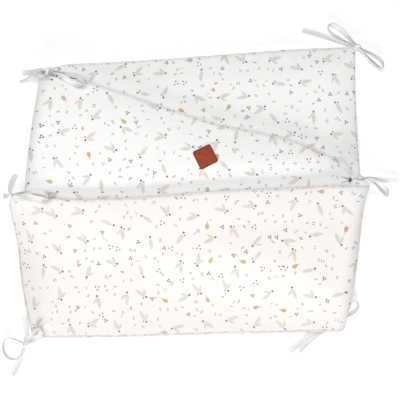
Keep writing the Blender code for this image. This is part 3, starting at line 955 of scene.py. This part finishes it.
# name, knot, turn, lies on the pad; its strands: start, bend, length, opening, neck, roll
bows = (
    ("tie_back_right_top", (0.3256, 0.3169), 140, True, (
        (138, 8, 0.076, 0.019, 0.45, 45), (-34, -12, 0.070, 0.022, 0.45, 84),
        (156, 12, 0.120, 0.0, 0.0, 16), (-43, 2, 0.075, 0.0, 0.0, 84))),
    ("tie_left_fold_top", (-0.3114, 0.2599), 170, True, (
        (-18, -13, 0.087, 0.0155, 0.50, -24), (178, -4, 0.065, 0.0, 0.0, 14),
        (190, 6, 0.073, 0.0, 0.0, 55))),
    ("tie_right_fold_top", (0.3166, 0.0392), -20, True, (
        (174, -84, 0.056, 0.0, 0.0, -24), (-4, -40, 0.078, 0.016, 0.50, 35),
        (3, -10, 0.093, 0.0, 0.0, 50))),
    ("tie_front_left_top", (-0.3714, 0.0024), 0, True, (
        (14, -38, 0.076, 0.013, 0.50, -16), (118, -50, 0.044, 0.0, 0.0, 25),
        (184, -6, 0.021, 0.0, 0.0, 5))),
    ("tie_front_left_bottom", (-0.3638, -0.3018), 40, True, (
        (44, -10, 0.056, 0.0095, 0.50, -30), (203, -22, 0.046, 0.036, 1.60, 80),
        (257, -20, 0.069, 0.0, 0.0, 10), (84, 18, 0.058, 0.0, 0.0, 10))),
    ("tie_right_fold_bottom", (0.2781, -0.2521), 30, False, (
        (34, 14, 0.058, 0.018, 0.60, 55), (207.5, 12, 0.116, 0.0, 0.0, 12),
        (213, 12, 0.101, 0.0, 0.0, 18))),
)


def heightAt(pad, places):
    hits = [topAt(pad, *place) for place in places]
    return max([0.0] + [hit.z for hit in hits if hit is not None])


def runAlong(points):
    steps = np.linalg.norm(np.diff(points, axis=0), axis=1)
    return np.concatenate(((0.0,), np.cumsum(steps)))


def lyingHeights(pad, plan, width):
    # What a strand lies on at each step: the highest point nearby, or a slope down from an edge
    ahead = np.gradient(plan, axis=0)
    ahead /= np.linalg.norm(ahead, axis=1)[:, None]
    edges = np.column_stack((-ahead[:, 1], ahead[:, 0])) * width[:, None] / 2
    tops = np.array([heightAt(pad, (place - edge, place, place + edge))
                     for place, edge in zip(plan, edges)])
    run = runAlong(plan)
    between = np.abs(run[:, None] - run[None, :])
    lying = (tops - tape["drapeSlope"] * between).max(axis=1)
    for _ in range(4):  # a tape bridges small dips
        lying[1:-1] = np.maximum(lying[1:-1], (lying[:-2] + lying[2:]) / 2)
    return lying


def knotRest(pad, place):
    # The height of what a knot lies on, on the same terms
    reach = tape["knotReach"]
    rests = [heightAt(pad, [place])]
    for ring in (reach, 2 * reach):
        around = [np.array(place) + ring * heading(turn) for turn in range(0, 360, 30)]
        rests.append(heightAt(pad, around) - tape["drapeSlope"] * (ring - reach))
    return max(rests)


def strandPath(strand, knot):
    # Middle line of a strand in plan, distances from the knot and roll: 90 is upright, 0 flat
    start, bend, length, opening, neck, roll = strand
    steps = tape["loopSteps"] if opening else tape["tailSteps"]
    along = np.linspace(0.0, 1.0, steps + 1)
    reach = np.sin(pi * along) if opening else along
    turned = np.radians(start + bend * reach / 2)
    out = np.column_stack((np.cos(turned), np.sin(turned)))
    aside = np.column_stack((-out[:, 1], out[:, 0]))
    if opening:
        widening = neck + (1.0 - neck) * reach
        side = opening / 2 * np.sin(2 * pi * along) * widening + tape["runsApart"] * np.cos(pi * along)
        lying = np.sin(2 * pi * along) ** 2
    else:
        side = np.zeros(steps + 1)
        lying = smoothStep(along / tape["tailTwist"])
    plan = np.array(knot) + length * reach[:, None] * out + side[:, None] * aside
    return plan, length * reach, 90.0 - (90.0 - roll) * lying


def layStrand(mesh, uv, centre, width, roll, notch=0.0, start=0.0):
    # One strip of the tape along its middle line, pleated where it is narrower than its cut width
    ahead = np.gradient(centre, axis=0)
    flatAhead = ahead[:, :2] / np.maximum(np.linalg.norm(ahead[:, :2], axis=1), 1e-9)[:, None]
    level = np.column_stack((-flatAhead[:, 1], flatAhead[:, 0])) * np.cos(np.radians(roll))[:, None]
    half = np.column_stack((level, np.sin(np.radians(roll))))
    normal = np.cross(ahead, half)
    normal /= np.maximum(np.linalg.norm(normal, axis=1), 1e-9)[:, None]
    run = start + runAlong(centre)
    steps = len(centre) - 1
    pleat = tape["pleat"] * np.sqrt(np.maximum(1.0 - (width / tape["width"]) ** 2, 0.0))
    made = bmesh.ops.create_grid(mesh, x_segments=steps, y_segments=tape["cellsAcross"], size=1.0)["verts"]
    places = {}
    for v in made:
        step = round((v.co.x + 1) / 2 * steps)
        across = v.co.y
        fold = pleat[step] * cos(across * 1.5 * pi) + tape["cup"] * across**2
        end = notch * (1.0 - abs(across)) if step == steps else 0.0
        places[v] = (run[step], across * tape["width"] / 2)
        v.co = (centre[step] + half[step] * width[step] / 2 * across + normal[step] * fold
                - end * ahead[step] / max(np.linalg.norm(ahead[step]), 1e-9))
    for face in {face for v in made for face in v.link_faces}:
        for loop in face.loops:
            loop[uv].uv = places[loop.vert]
    return run[-1]


def wrapKnot(mesh, uv, centre, turn, start):
    # A short length of the tape wound once round the gathered strands
    others = set(mesh.verts)
    breadth, wide, high = tape["wrap"]
    cells, turns = tape["wrapCells"]
    row = [mesh.verts.new((step * breadth, 0.0, 1.0 - tape["wrapDome"] * step**2))
           for step in np.linspace(-1.0, 1.0, cells + 1)]
    edges = [mesh.edges.new(pair) for pair in zip(row, row[1:])]
    bmesh.ops.spin(mesh, geom=row + edges, axis=(1.0, 0.0, 0.0), angle=2 * pi,
                   steps=turns, use_merge=True)
    ring = [v for v in mesh.verts if v not in others]
    winding = {v: atan2(v.co.y, v.co.z) for v in ring}
    for face in {face for v in ring for face in v.link_faces}:
        middle = face.calc_center_median()
        middle = atan2(middle.y, middle.z)
        for loop in face.loops:
            angle = winding[loop.vert]
            angle += 2 * pi * round((middle - angle) / (2 * pi))
            loop[uv].uv = (start + angle * wide, loop.vert.co.x)
    for v in ring:  # one side of the winding rides a little over the other
        slant = tape["wrapSlant"] * sin(winding[v])
        v.co = (v.co.x + slant, v.co.y * wide, v.co.z * high)
    place = Matrix.Translation(centre) @ Matrix.Rotation(radians(turn), 4, "Z")
    bmesh.ops.transform(mesh, matrix=place, verts=ring)
    return start + 2 * pi * wide


def makeBow(number, pad):
    name, knot, turn, onTop, strands = bows[number]
    under = knotRest(pad, knot) if onTop else 0.0
    centre = Vector((*knot, under + tape["clearance"] + tape["knotHeight"]))
    mesh = bmesh.new()
    uv = mesh.loops.layers.uv.new("cloth")
    used = 0.0
    for strand in strands:
        isLoop = strand[3] > 0
        plan, distance, roll = strandPath(strand, knot)
        spread = smoothStep(distance / tape["gatherReach"])
        width = tape["width"] * (tape["gathered"] + (1 - tape["gathered"]) * spread)
        upright = np.sin(np.radians(roll))
        rest = lyingHeights(pad, plan, width) if onTop else np.zeros(len(plan))
        lying = rest + tape["clearance"] + (width * upright + tape["thickness"]) / 2
        if isLoop:
            lying += tape["loopRise"] * distance / distance.max() * smoothStep(rest / tape["padRise"])
        height = np.maximum(lying, centre.z - tape["drapeSlope"] * distance)
        path = np.column_stack((plan, height))
        used = layStrand(mesh, uv, path, width, roll, 0.0 if isLoop else tape["endNotch"], used)
        used += tape["cutApart"]
    seam = pad.find_nearest(centre)[0]
    points = tape["rootSteps"] + 1
    root = np.linspace(np.array(seam), np.array(centre), points)
    width, roll = np.full(points, tape["width"] * tape["gathered"]), np.full(points, tape["rootRoll"])
    used = layStrand(mesh, uv, root, width, roll, 0.0, used)
    used = wrapKnot(mesh, uv, centre, turn, used)
    made = finishPiece("bow_" + name[4:], mesh, "cotton_tape", name)
    thickened(made, tape["thickness"], 0.0)
    smoothed(made)
    return made


def surfaceOf(made):
    bpy.context.view_layer.update()
    return BVHTree.FromObject(made, bpy.context.evaluated_depsgraph_get())


def makeFloor():
    tree, sockets = newMaterial("paper", Roughness=0.9)
    place = wired("TexCoord", {}, tree).outputs["Object"]
    scale, share = studio["floorClouds"]
    darker = tuple(part * share for part in studio["floorColour"])
    tone = painted(grainy(place, scale), studio["floorColour"], darker)
    feed(sockets["Base Color"], tone)
    sockets["Emission Color"].default_value = (1.0, 1.0, 1.0, 1.0)
    sockets["Emission Strength"].default_value = studio["floorGlow"]
    mesh = bmesh.new()
    bmesh.ops.create_grid(mesh, x_segments=8, y_segments=8, size=studio["floorSize"] / 2)
    bmesh.ops.translate(mesh, verts=mesh.verts, vec=(0.0, 0.0, -studio["floorDrop"]))
    makeObject("floor", mesh, "paper")


setUpStudio()
makeFloor()
print("studio ready")
makePrintedCotton()
makeCottonTape()
makeLeather()
print("materials ready")
padded = makeBand()
print("band folded")
padSurface = surfaceOf(padded)
makePatch(padSurface)
for number in range(len(bows)):
    makeBow(number, padSurface)
print("patch and ties laid")
